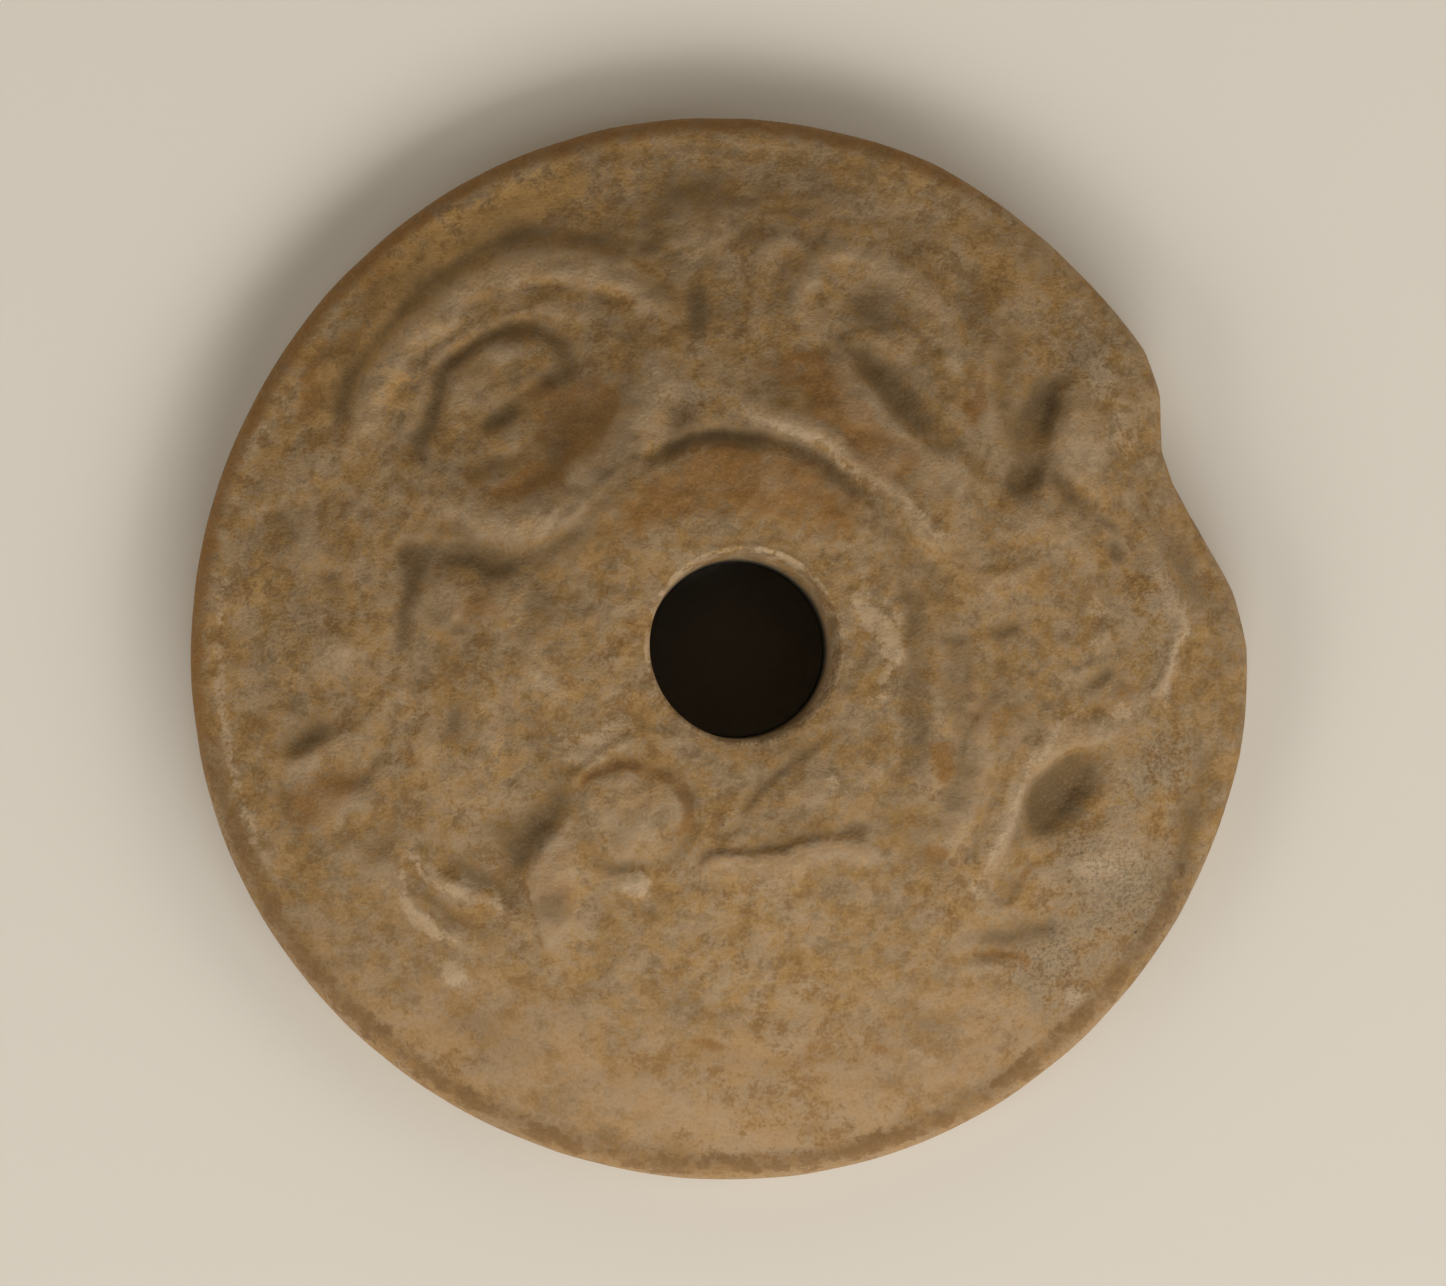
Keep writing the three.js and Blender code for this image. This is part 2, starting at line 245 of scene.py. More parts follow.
def carve_upper_right_scroll(face):
    face.stroke(4.0, -0.2, (7, 25.4), (10.6, 23.8), (13.4, 21.2), (15.4, 18))
    face.cut(0.9, 0.1, 0.3, (7.4, 24.6), (9, 23.6), (10.8, 22.4), (12.4, 21.2))
    face.stroke(1.8, 0.22, (1.3, 16.4), (1.8, 18.8), (2, 21), (3, 22.7), (4.8, 23.2))
    face.cut(0.9, 0.1, 0.2, (3, 19), (3.1, 20.8), (4, 22.2))
    face.stroke(2.6, 0.3, (4.9, 17.6), (4.6, 19.8), (5.2, 21.7), (7.2, 22.2), (9.4, 21.6), (11.4, 19.8),
                (12.5, 17.4), (13.2, 15))
    face.stroke(2.2, 0.16, (14.4, 17.4), (14.7, 15), (14.9, 12.6), (14.9, 10.4))
    face.pit(0.4, 0.5, 8.4, 19.4, 2.7, 1.7, -8)
    face.cut(1.0, 0.18, 0.6, (11, 18.8), (9.6, 18.2), (7.8, 18.1), (6.9, 17.4), (6.6, 16.5))
    face.swell(0.14, 9.2, 17, 1.7, 0.8, -5)
    face.ledge(4.6, 0.45, (16, 8.2), (13.8, 9.8), (11.8, 11.2), (9.6, 13.3), (8, 15), (6.4, 16.9),
               (5.4, 18.2))
    face.cut(2.4, 0.26, 0.65, (6.8, 16.8), (8.6, 15.2), (10.4, 13.6), (12, 12))
    face.stroke(2.0, 0.12, (12.4, 14.6), (13.4, 12.8), (14.6, 11.2))
    face.stroke(2.4, 0.4, (0.6, 14.6), (2.2, 13.5), (4, 12.6), (6.2, 11.5), (8.4, 10.1), (10.2, 8.5),
                (11.2, 6.6), (12.4, 5))
    face.stroke(3.0, -0.2, (8, 8), (10, 6), (11.6, 4), (12.6, 1.4))


def carve_right_side(face):
    face.cut(3.6, 0.5, 0.6, (19.6, 16.2), (18.4, 14.4), (17.6, 12.8), (17, 11), (16.8, 9.6))
    face.pit(0.5, 0.95, 16.9, 9.5, 1.7, 1.5, 10)
    face.cut(1.8, 0.24, 0.4, (17.6, 9.6), (18.9, 9), (20, 8), (20.9, 7.2))
    face.cut(0.8, 0.14, 0.5, (20.6, 7.5), (21.6, 7), (22.5, 6.2))
    face.pit(0.22, 0.7, 22, 5.4, 0.8, 1.2, 30)
    face.ledge(4.2, 0.42, (20.4, 17), (19.6, 15.4), (18.6, 13.4), (18.3, 11.4), (18.9, 9.9), (20.2, 8.6),
               (22, 7.2))
    face.stroke(1.4, 0.12, (20.7, 15), (20.9, 12), (20.8, 9))
    face.stroke(0.9, 0.1, (20, 14.2), (21, 13.9), (21.6, 12.6))
    face.stroke(3.0, 0.24, (15, 6.8), (17, 7), (18.6, 6.6), (19.8, 5.4), (20.4, 3.6))
    face.pit(0.1, 0.4, 18.5, 7.2, 0.6, 0.5)
    face.pit(0.08, 0.35, 19.7, 6.9, 0.4, 0.3)
    face.stroke(1.0, 0.14, (13.4, 5.6), (14.2, 5.2), (15, 4.4))
    face.stroke(1.8, 0.2, (13, 3.9), (15, 3.7), (16.6, 4.1), (18, 5))
    face.stroke(1.3, 0.24, (23.2, 7.2), (24.3, 5.2), (24.8, 3.2), (25.5, 1.4), (25.1, 0), (24.9, -1.4),
                (24, -3.2))
    face.cut(1.0, 0.12, 0.35, (20.2, 4), (20.1, 2.6), (19.7, 1))
    face.swell(0.2, 21, 0.8, 1.7, 0.9, -40)
    face.cut(1.0, 0.14, 0.6, (14.6, 0.8), (15.8, 1), (17, 1.6))
    face.cut(1.3, 0.16, 0.5, (11.8, 1), (12.6, 0.5), (14.2, 0.7))
    face.stroke(1.2, 0.14, (18.8, -2.1), (20, -1.3), (21.2, -0.8))
    face.cut(1.0, 0.18, 0.6, (19.8, -2.4), (20.9, -1.8), (22, -1.2))
    face.cut(0.8, 0.1, 0.3, (20.2, -3.4), (21.6, -3.3))
    face.cut(1.0, 0.1, 0.2, (16, 0.2), (15.2, -1.8), (13.8, -4.2), (13, -6.4))
    face.cut(1.0, 0.1, 0.25, (17.4, -1.8), (17.6, -3.6), (17.2, -5.6))
    face.stroke(3.6, -0.14, (26.4, -2), (26.8, -5), (26.2, -9), (25, -13))


def carve_arm(face):
    face.stroke(3.2, 0.26, (12.6, -0.8), (13.8, -3), (14.4, -5.4), (13.6, -8.6), (12, -11.8))
    face.stroke(1.1, 0.14, (12.2, -10.4), (13.4, -9), (14.2, -7.2), (14.8, -5.6))
    face.cut(0.8, 0.1, 0.25, (13, -12.2), (14.2, -10), (15.2, -7.8), (16, -5.8))
    face.ledge(2.0, 0.38, (14.4, -14.2), (15.8, -11.4), (16.5, -9.2), (17.2, -7.5), (18.6, -6.1),
               (20.4, -5.4), (22.8, -4.6))
    face.pit(0.8, 1.0, 19, -7.9, 2.1, 3.9, -42)
    face.swell(0.4, 21.4, -11.6, 3.6, 2.8, 30)
    face.stroke(1.2, 0.12, (17, -13.6), (18.4, -12.4), (19.6, -11))
    face.cut(0.9, 0.14, 0.4, (15.2, -13.4), (16, -13.9), (16.8, -12.6))
    face.cut(1.3, 0.2, 0.6, (13.8, -15.7), (15.4, -15.9), (17.2, -15.6), (19, -15.7))
    face.cut(0.9, 0.14, 0.5, (13.8, -17.1), (15, -17.2), (16.2, -17))
    face.stroke(1.3, 0.18, (13.2, -18.2), (14.8, -17.9), (16.6, -18.2))
    face.pit(0.14, 0.2, 12.4, -12, 1.2, 1.0)


def carve_collar_ring(face):
    face.stroke(2.6, -0.28, (9.6, 5), (10.6, 2.4), (10.9, -0.4), (10.9, -3.4), (10.4, -6.4), (9.2, -8.8))
    face.ledge(2.4, 0.14, (-4.6, 3.3), (-6.2, 1.9), (-6.9, 0), (-6.9, -2), (-7, -3.6))
    face.cut(1.0, 0.18, 0.5, (0.9, -9.4), (1.6, -8.4), (2.6, -7.2), (3.8, -6.4), (5, -5.6), (6.2, -4.4))
    face.cut(0.7, 0.1, 0.35, (-0.8, -10), (0.6, -9.9), (1.8, -9.2))
    face.swell(0.25, 5, -8, 3.0, 1.5, 20)
    face.cut(0.6, 0.12, 0.6, (-0.8, 5.7), (1.4, 5.9), (3.8, 5.2), (5.5, 3.8), (6.4, 2.2), (6.7, 0.4),
             (6.4, -1.6))


def carve_head(face):
    face.swell(0.36, -4.8, -9.4, 3.9, 3.8)
    face.cut(1.0, 0.12, 0.35, (-8, -8.4), (-7.2, -7.2), (-5.8, -6.5), (-4.2, -6.5), (-2.8, -7.3),
             (-1.7, -8.4), (-1.4, -9.8), (-2.2, -11.4), (-4, -12.1), (-5.8, -12.3), (-7.2, -11.4),
             (-8, -9.8), (-8, -8.4))
    face.cut(1.1, 0.14, 0.45, (-4.2, -6.3), (-2.8, -7), (-1.7, -8), (-1.3, -9.2))
    face.stroke(1.0, 0.12, (-6.6, -11.6), (-6, -10.6), (-5, -10.2), (-3.4, -10.4))
    face.swell(-0.1, -4.6, -9, 1.6, 1.0)
    face.stroke(1.1, 0.16, (-8.7, -8.2), (-7.6, -6.8), (-6.2, -5.8), (-4.6, -5.2))
    face.ledge(4.0, 0.45, (-8.4, -7.8), (-9, -9.6), (-10, -11), (-10.5, -12.6), (-10.2, -15), (-9.4, -18.6))
    face.swell(0.22, -9, -11.9, 1.5, 1.9, 20)
    face.stroke(1.6, 0.2, (-6.6, -13.7), (-5, -13.5), (-3.6, -13))
    face.ledge(3.4, 0.36, (9.4, -13), (8.8, -11.2), (7, -10.5), (4.6, -10.6), (3.6, -11.1), (1.4, -11.2),
               (-0.2, -11.3), (-1.2, -12.2), (-1.6, -13.6))
    face.cut(0.8, 0.1, 0.6, (-1.4, -12.4), (-0.7, -11.3), (0.8, -10.9), (3, -10.8), (4.4, -10.3), (6.4, -10))
    face.pit(0.16, 0.8, 7.6, -9.9, 1.5, 0.5, 4)
    face.swell(0.2, 3.8, -13.8, 5.0, 2.6)
    face.swell(0.14, 6, -12.2, 1.5, 1.1)
    face.swell(0.12, 0.8, -13.6, 1.3, 1.0)
    face.swell(0.12, 3.2, -12.4, 1.1, 0.9)
    face.stroke(2.6, -0.2, (9.6, -13.8), (10.4, -11.4), (11.2, -9))


def carve_left_boss(face):
    face.swell(0.34, -15.4, 2.2, 2.4, 2.0)
    face.swell(0.3, -12, 2.6, 2.6, 2.0)
    face.stroke(1.0, 0.12, (-16.6, 2.6), (-15.2, 3.4), (-13.2, 3.5), (-11.4, 3.7))
    face.pit(0.14, 0.7, -14.8, 1.4, 0.9, 0.6, 20)
    face.pit(0.1, 0.5, -13.9, 0.9, 0.4, 0.6)
    face.stroke(0.8, 0.1, (-17.7, 1.8), (-17.9, -0.6), (-17.8, -3.4), (-17.9, -5.6))
    face.stroke(4.0, 0.24, (-10.4, 1), (-9.8, -1.4), (-8, -3.4))
    face.cut(1.0, 0.14, 0.5, (-15.1, -2.4), (-14.9, -3.8), (-14.4, -5.8))
    face.stroke(1.6, 0.14, (-13.6, -1.8), (-13.2, -4), (-12.6, -6))
    face.stroke(1.2, -0.1, (-12.4, -1.6), (-12, -4), (-11.4, -5.8))
    face.stroke(2.6, 0.16, (-16.4, -3), (-16.2, -6), (-14.8, -8.2), (-12.6, -8))
    face.stroke(1.4, -0.1, (-10.4, -2.4), (-10.6, -4.6), (-9.6, -6))


def carve_left_side(face):
    face.cut(1.9, 0.3, 0.75, (-25, -5.6), (-23.6, -5.1), (-22.3, -4.4), (-21.1, -3.8))
    face.ledge(2.4, 0.26, (-18.8, -4.2), (-21.2, -4.9), (-23.4, -5.8), (-25.2, -6.8))
    face.stroke(4.6, -0.16, (-25.4, -3.4), (-23, -2.4), (-20.8, -2.4))
    face.cut(1.3, 0.18, 0.4, (-21.8, -7.7), (-20.2, -7.1), (-19.2, -6.2), (-18.4, -5.3))
    face.cut(1.2, 0.1, 0.35, (-24.2, -7.2), (-24.2, -8.8), (-23.2, -10.2), (-21.6, -10.6))
    face.stroke(2.6, 0.18, (-23.4, -8.4), (-21.6, -9), (-19.8, -8.6), (-18.2, -7.2))
    face.cut(1.5, 0.12, 0.35, (-20.4, -11.9), (-19.2, -11.2), (-17.6, -10.2))
    face.cut(2.4, 0.36, 0.75, (-8.9, -7), (-9.2, -8.6), (-10.4, -10.2), (-11.4, -11.6), (-11.4, -13.4))
    face.pit(0.26, 0.5, -12, -10.2, 2.6, 2.4, 30)
    face.pit(0.1, 0.3, -21.8, 3.8, 0.8, 1.9, 35)
    face.pit(0.08, 0.25, -22.9, 2.3, 0.9, 0.7, -30)
    face.stroke(4.4, 0.14, (-25.4, 1), (-22, -0.4), (-19.6, 1.4))
    face.stroke(4.0, 0.12, (-26, 4.6), (-24, 5), (-21, 6))


def carve_bracket(face):
    face.stroke(1.2, 0.26, (-17.8, -12.1), (-16.8, -11.6), (-15.4, -12.8), (-13.6, -13.9), (-11.9, -14.9),
                (-10.8, -15.8))
    face.stroke(1.2, 0.24, (-17.9, -12), (-18, -13.4), (-17, -14.5), (-15.4, -15.7), (-13.8, -16.6))
    face.cut(1.1, 0.16, 0.5, (-16.8, -13), (-15.8, -14), (-14.6, -15), (-13.2, -15.9))
    face.cut(1.6, 0.2, 0.5, (-15.8, -11.4), (-14.2, -12.5), (-12.6, -13.4), (-10.6, -13.9))
    face.swell(0.16, -19, -12.6, 2.0, 3.0)
    face.swell(0.2, -15.2, -18.4, 1.3, 1.9, 90)
    face.pit(0.12, 0.3, -14.4, -20.6, 2.0, 1.4)


def wear_flange(face):
    face.pit(0.14, 0.5, 5.2, -26.8, 1.6, 0.5, 12)
    face.cut(0.6, 0.06, 0.4, (3.6, -27), (4.8, -26.4), (6.4, -26.7))
    face.cut(0.8, 0.08, 0.3, (9.4, -26.6), (10.8, -26.3), (12.2, -26))
    face.swell(-0.12, -6.5, -27, 1.4, 0.8)
    face.stroke(3.0, -0.12, (-4, -20.6), (2, -20.4), (8, -20.9), (13, -20.2))
    face.stroke(5.0, 0.14, (-16, -23), (-8, -25), (0, -25.6), (8, -25), (16, -22.6))
    face.stroke(2.6, -0.1, (-2, -22.4), (2, -22.8), (6, -22.7), (9.6, -21.6))
    face.stroke(3.0, 0.1, (10.6, -22.4), (14, -21.2), (17.4, -19))
    face.stroke(3.0, 0.1, (-10.6, -19.4), (-8.4, -21.6), (-6, -23.4))


def prick_pores(face):
    for x, y in ((-12.3, -0.7), (-13.9, -1.7), (-16.6, -1.9), (-16.9, -6.4), (-5.6, -1.7), (-7.7, 2.3),
                 (-6.8, 8.4), (10.8, 8.6), (1.8, -12.8), (1.6, -13.9), (-19, -15.4), (17.4, 18.3)):
        face.pit(0.16, 0.8, x, y, 0.34, 0.26, 20)


# The bite broken out of the rim: angles, and how deep it is there.
bite_angles = (-12, 0, 6, 11, 16, 20, 24, 27, 30, 35, 48, 66)
bite_depths = (0.0, 0.3, 0.9, 1.85, 2.6, 2.95, 2.85, 2.2, 1.45, 0.85, 0.65, 0.0)
scar_from, scar_to = (23.6, 7.2), (28.6, -0.6)
scar_slope = 0.8


def rim_radius(angle):
    """The disc's radius: a circle, worn a little four ways, less the bite."""
    degrees = (np.degrees(angle) + 180) % 360 - 180
    wear = 0.1 * np.cos(4 * (angle - np.radians(113))) + 0.05 * np.cos(angle + np.radians(60))
    ragged = 0.03 * grain(30 * np.cos(angle), 30 * np.sin(angle), 0 * angle, 2.2, 5)
    return disc_radius + wear + ragged - np.interp(degrees, bite_angles, bite_depths)


def scar_depth(x, y):
    """How far the broken scar falls: its slope times the distance past the line of the break."""
    sx, sy = scar_to[0] - scar_from[0], scar_to[1] - scar_from[1]
    length = np.hypot(sx, sy)
    beyond = (-(x - scar_from[0]) * sy + (y - scar_from[1]) * sx) / length
    along = ((x - scar_from[0]) * sx + (y - scar_from[1]) * sy) / length**2
    return scar_slope * np.maximum(beyond, 0) * smooth(-0.7, 0.1, along)


def dome_height(x, y):
    """The plain form under the carving: a flat collar, then a dome that falls to the flange."""
    radius = np.hypot(x, y)
    fall = np.clip((radius - slope_start) / (dome_foot - slope_start), 0, 1) ** dome_curve
    dome = collar_top - collar_sag * smooth(5, 11, radius) - (collar_top - flange_height) * fall
    from_collar = np.hypot(x - collar_centre[0], y - collar_centre[1])
    step = collar_step * smooth(3, 9, y)
    edge = 1 - smooth(collar_radius - 0.4, collar_radius + 0.6, from_collar)
    return dome + step * edge


# One closed skin. At each of many angles a loop runs up the hole, over the lip,
# across the face, round the rim and back along the underside to the hole.
angle_steps, face_rows = 520, 140
wall_rows, lip_rows = 12, 4
angles = np.linspace(0, 2 * np.pi, angle_steps, endpoint=False)
cos, sin = np.cos(angles), np.sin(angles)
rim = rim_radius(angles)


def hole_ring(radius, lean):
    """A ring round the hole, moved by the lip's lean where lean is one."""
    return (bore_centre[0] + lip_lean[0] * lean + radius * cos,
            bore_centre[1] + lip_lean[1] * lean + radius * sin)


def rim_ring(inset):
    """The disc's worn outline, drawn in by the inset."""
    return (rim - inset) * cos, (rim - inset) * sin


lip = hole_ring(bore_radius + lip_flare + lip_round, 1)
shoulder = rim_ring(rim_round)
across = np.linspace(0, 1, face_rows)[:, None]
face_x = lip[0] + across * (shoulder[0] - lip[0])
face_y = lip[1] + across * (shoulder[1] - lip[1])


def softened(height, reach):
    """The face blurred over a reach in millimetres: round each ring, then from ring to ring."""
    radius = np.hypot(face_x, face_y).mean(axis=1)[:, None]
    waves = np.fft.rfftfreq(angle_steps, 1 / angle_steps)[None, :]
    ringed = np.fft.irfft(np.fft.rfft(height, axis=1) * np.exp(-0.5 * (waves * reach / radius) ** 2),
                          angle_steps, axis=1)
    weights = np.exp(-0.5 * ((radius - radius.T) / reach) ** 2)
    return weights @ ringed / weights.sum(axis=1, keepdims=True)


face = Patch(face_x, face_y, 0.3)
for carve in (carve_upper_left_scroll, carve_lower_left_trough, carve_top_knob, carve_upper_right_scroll,
              carve_right_side, carve_arm, carve_collar_ring, carve_head, carve_left_boss,
              carve_left_side, carve_bracket, wear_flange, prick_pores):
    carve(face)
# The carving is worn: fine marks are blurred a little, and broad forms stand fuller than drawn.
marks = face.height()
carving = softened(marks, 0.09) + 0.9 * softened(marks, 1.4)
plain = dome_height(face_x, face_y) - scar_depth(face_x, face_y)
# The flange was wiped smoother than the rest.
roughness = 1 - 0.7 * smooth(-10, -24, face_y) * smooth(18, 24, np.hypot(face_x, face_y))
lumps = 0.14 * grain(face_x, face_y, plain, 3.1, 1)
unevenness = lumps + 0.11 * roughness * grain(face_x, face_y, plain, 1.3, 2)
pitting = roughness * 0.08 * grain(face_x, face_y, plain, 0.6, 3)
face_z = plain + carving + unevenness + pitting


def loop_rows():
    """The loop's rows in order, each an x, y, z ring: hole wall, lip, face, rim and underside."""
    lip_top, rim_top = face_z[0], face_z[-1]
    rows = []
    for part in np.linspace(0, 1, wall_rows):
        opened = part**6
        x, y = hole_ring(bore_radius + lip_flare * opened, opened)
        wall = part * (lip_top - lip_round)
        rows.append((x, y, wall))
    for turn in np.linspace(0, 90, lip_rows + 2)[1:-1]:
        c, s = turned(turn)
        x, y = hole_ring(bore_radius + lip_flare + lip_round * (1 - c), 1)
        rows.append((x, y, lip_top - lip_round * (1 - s)))
    rows += list(zip(face_x, face_y, face_z))
    for turn in np.linspace(0, 90, 10)[1:]:
        c, s = turned(turn)
        rows.append((*rim_ring(rim_round * (1 - s)), rim_top - rim_round * (1 - c)))
    for part in np.linspace(0, 1, 8)[1:]:
        rows.append((*rim_ring(0), (rim_top - rim_round) * (1 - part) + foot_round * part))
    for turn in np.linspace(0, 90, 6)[1:]:
        c, s = turned(turn)
        rows.append((*rim_ring(foot_round * (1 - c)), foot_round * (1 - s) + 0 * rim))
    foot, hole = rim_ring(foot_round), hole_ring(bore_radius, 0)
    for part in np.linspace(0, 1, 14)[1:-1]:
        rows.append((foot[0] + part * (hole[0] - foot[0]), foot[1] + part * (hole[1] - foot[1]), 0 * rim))
    return np.array(rows)


rings = loop_rows()
row_count = len(rings)
x, y, z = rings.transpose(1, 0, 2)
first_face_row = wall_rows + lip_rows
last_face_row = first_face_row + face_rows

points = np.stack([x, y, z], axis=-1).reshape(-1, 3) * MM
row, step = np.meshgrid(np.arange(row_count), np.arange(angle_steps), indexing="ij")
next_row, next_step = (row + 1) % row_count, (step + 1) % angle_steps
quads = np.stack([row * angle_steps + step, next_row * angle_steps + step,
                  next_row * angle_steps + next_step, row * angle_steps + next_step], axis=-1)
quads = quads.reshape(-1, 4)

mesh = bpy.data.meshes.new("whorl_clay")
mesh.from_pydata(points, [], quads)
mesh.polygons.foreach_set("use_smooth", np.ones(len(quads), bool))


def paint(name, values):
    """Keeps one number for each point of the skin, for the clay's finish to read."""
    layer = mesh.attributes.new(name, "FLOAT", "POINT")
    layer.data.foreach_set("value", np.ascontiguousarray(np.clip(values, -1, 1), np.float32).ravel())


# Hollows and crests: the carving against itself blurred, fine marks and wide ones.
worked = carving + unevenness
fine_hollow = softened(worked, 0.6) - softened(worked, 0.16)
wide_hollow = softened(worked, 1.8) - softened(worked, 0.4)
hollow = np.zeros((row_count, angle_steps))
hollow[first_face_row:last_face_row] = 3 * fine_hollow + 1.8 * wide_hollow
paint("hollow", hollow)

# Where the clay is stained: each stain is a patch of swells and strokes from nought to one.
upper = smooth(1.5, 3.5, z)
inset = rim - np.hypot(x, y)
bearing = np.degrees(np.arctan2(y, x)) % 360


def bearing_window(start, end, fade=12):
    """One between two bearings, counted counterclockwise, fading out beyond them."""
    middle, half = (start + end) / 2, (end - start) / 2
    away = np.abs((bearing - middle + 180) % 360 - 180)
    return 1 - smooth(half, half + fade, away)


def stain(name, lay, edge=0.0):
    """One stain laid on the upper side only, with a second one that may be stronger where it lies."""
    patch = Patch(x, y, 0.8)
    lay(patch)
    paint(name, np.maximum(np.minimum(patch.height(), 1) * upper, edge))


def lay_ochre(clay):
    """Iron-brown skin on the collar, the scrolls, the pads and the ridges that were handled."""
    clay.stroke(5.5, 0.8, (-7.4, 3.6), (-5.4, 7), (-1.6, 9), (2.4, 9.4), (6, 7.6), (8.2, 4.6))
    clay.swell(0.5, 2, 8.6, 4, 2.6)
    clay.swell(0.9, -8.2, 13, 4.4, 4.6, -35)
    clay.stroke(3, 0.8, (-14.4, 10.4), (-12.4, 8.8), (-9.4, 9.4), (-6.4, 12.4))
    clay.stroke(4.4, 0.9, (1.6, 16.6), (4.4, 15.2), (7.4, 12.8), (10, 10.2), (12.4, 7.8))
    clay.swell(0.8, -22.2, -8, 3.6, 2.4, 10)
    clay.swell(0.7, 22.4, -2.9, 1.8, 1.0, 10)
    clay.stroke(3, 0.6, (12.6, -1), (14.8, -3.6), (17.4, -2.8))
    clay.swell(0.8, 12.4, -6.2, 1.5, 2.0)
    clay.swell(0.8, 11.6, -11.6, 1.5, 1.6)
    clay.stroke(1.2, 0.6, (16.4, -13.8), (17.6, -12.2), (18.6, -11.4))
    clay.stroke(1.6, 0.7, (-8, -9), (-6.6, -7), (-4.4, -6.6), (-2.2, -7.6), (-1.8, -10), (-3.4, -11.8))
    clay.swell(0.8, -9, -12.8, 2.2, 2.4, 20)
    clay.stroke(1.8, 0.6, (-0.9, -13.6), (-0.6, -12), (1.6, -11.4), (4.4, -11.2), (7.4, -11), (8.8, -12.4))
    clay.stroke(1.3, 0.9, (13.6, -16.9), (15.4, -17.1), (16.8, -17.5), (18.2, -18.6))
    clay.swell(0.8, -13.4, 2.8, 3.4, 1.8)
    clay.stroke(1.0, 0.7, (14.6, 16), (14.7, 14), (14.1, 11.8))
    clay.stroke(1.0, 0.5, (-0.4, 21.6), (0.6, 23.2), (3, 24), (5, 24))
    clay.stroke(3.0, 0.6, (-24, 12), (-22.6, 15.6), (-19.6, 19.6), (-15.4, 23))
    clay.swell(0.7, -0.2, -22.5, 1.8, 1.2)
    clay.swell(0.6, 4.6, -22.7, 2.2, 1.0)
    clay.swell(0.5, 8.7, -22.2, 1.8, 1.0)
    clay.swell(0.5, 5, -8.2, 3, 1.2, 20)


def lay_pale(clay):
    """Rubbed and limy places where the clay is light and greyish pink."""
    clay.stroke(2.6, 0.8, (7.6, 4.2), (9, 1.6), (9.6, -1.2), (8.8, -4))
    clay.stroke(1.8, 0.9, (-6.2, -13.9), (-4.9, -13.5), (-3.6, -13.1))
    clay.swell(0.8, -6, -4.6, 1.8, 1.4)
    clay.swell(0.9, -15.2, -18.5, 1.7, 1.4)
    clay.stroke(1.0, 0.8, (-17.8, -11.4), (-16.4, -12.1), (-15, -12.9), (-13.2, -14.1), (-11.4, -15.3))
    clay.stroke(1.4, 0.8, (-17.8, -11.4), (-18, -13.6), (-16.2, -15.2), (-14.2, -16.6))
    clay.swell(0.5, 21.8, -11.6, 2.6, 2.2)
    clay.stroke(1.0, 0.7, (14, -14.4), (15.6, -10.4), (16.8, -7.4), (18.6, -4.6), (20.6, -3.8), (23, -3.4))
    clay.stroke(0.8, 0.6, (25.2, 3.4), (25.5, 1), (25, -1.4), (24.8, -4))
    clay.stroke(1.2, 0.6, (1.2, 13.8), (3.3, 12.5), (5.8, 11.2), (8.2, 9.8), (10.4, 8.2), (12.6, 5.8))
    clay.swell(0.5, 6.4, -7.6, 1.8, 1.0)
    clay.swell(0.4, 22, 11.6, 3.4, 4.6)
    clay.swell(0.35, -0.4, 23.6, 2.6, 1.8)
    clay.swell(0.8, -7.6, -5.4, 3.4, 2.0)
    clay.swell(0.5, 21.6, 15.4, 1.8, 2.8)
    clay.swell(0.4, 20.6, 1.2, 1.8, 2.4)
    clay.swell(0.5, 12, -22.3, 2.6, 1.9)
    clay.swell(0.5, 19.8, -18.8, 2.2, 1.4, 35)
    clay.swell(0.4, 4, -24.8, 3.4, 1.2)
    clay.swell(0.5, -16, -17.6, 2.6, 1.6)
    clay.swell(0.4, -23, -12, 1.6, 2.4)


def lay_fired(clay):
    """Brighter, redder clay, where the fire was hotter, mostly on the upper left."""
    clay.stroke(6.4, 0.9, (-5, 26.4), (-11, 24.6), (-16.6, 21), (-21, 16), (-24.4, 9.6))
    clay.swell(0.6, -17.6, 14.6, 3.4, 4.4, 30)
    clay.swell(0.6, -25.2, 4.4, 2.6, 3)
    clay.swell(0.5, -23.8, 0, 2.4, 3.4)
    clay.swell(0.7, -10.4, 9, 3.0, 1.4, 15)
    clay.swell(0.5, -7.4, 12.6, 1.4, 2.6, -30)
    clay.swell(0.4, -13, -6, 2.6, 1.8)
    clay.swell(0.4, -18, -12, 2.2, 2.2)
    clay.swell(0.4, 4, 14.6, 3.0, 1.8, -30)


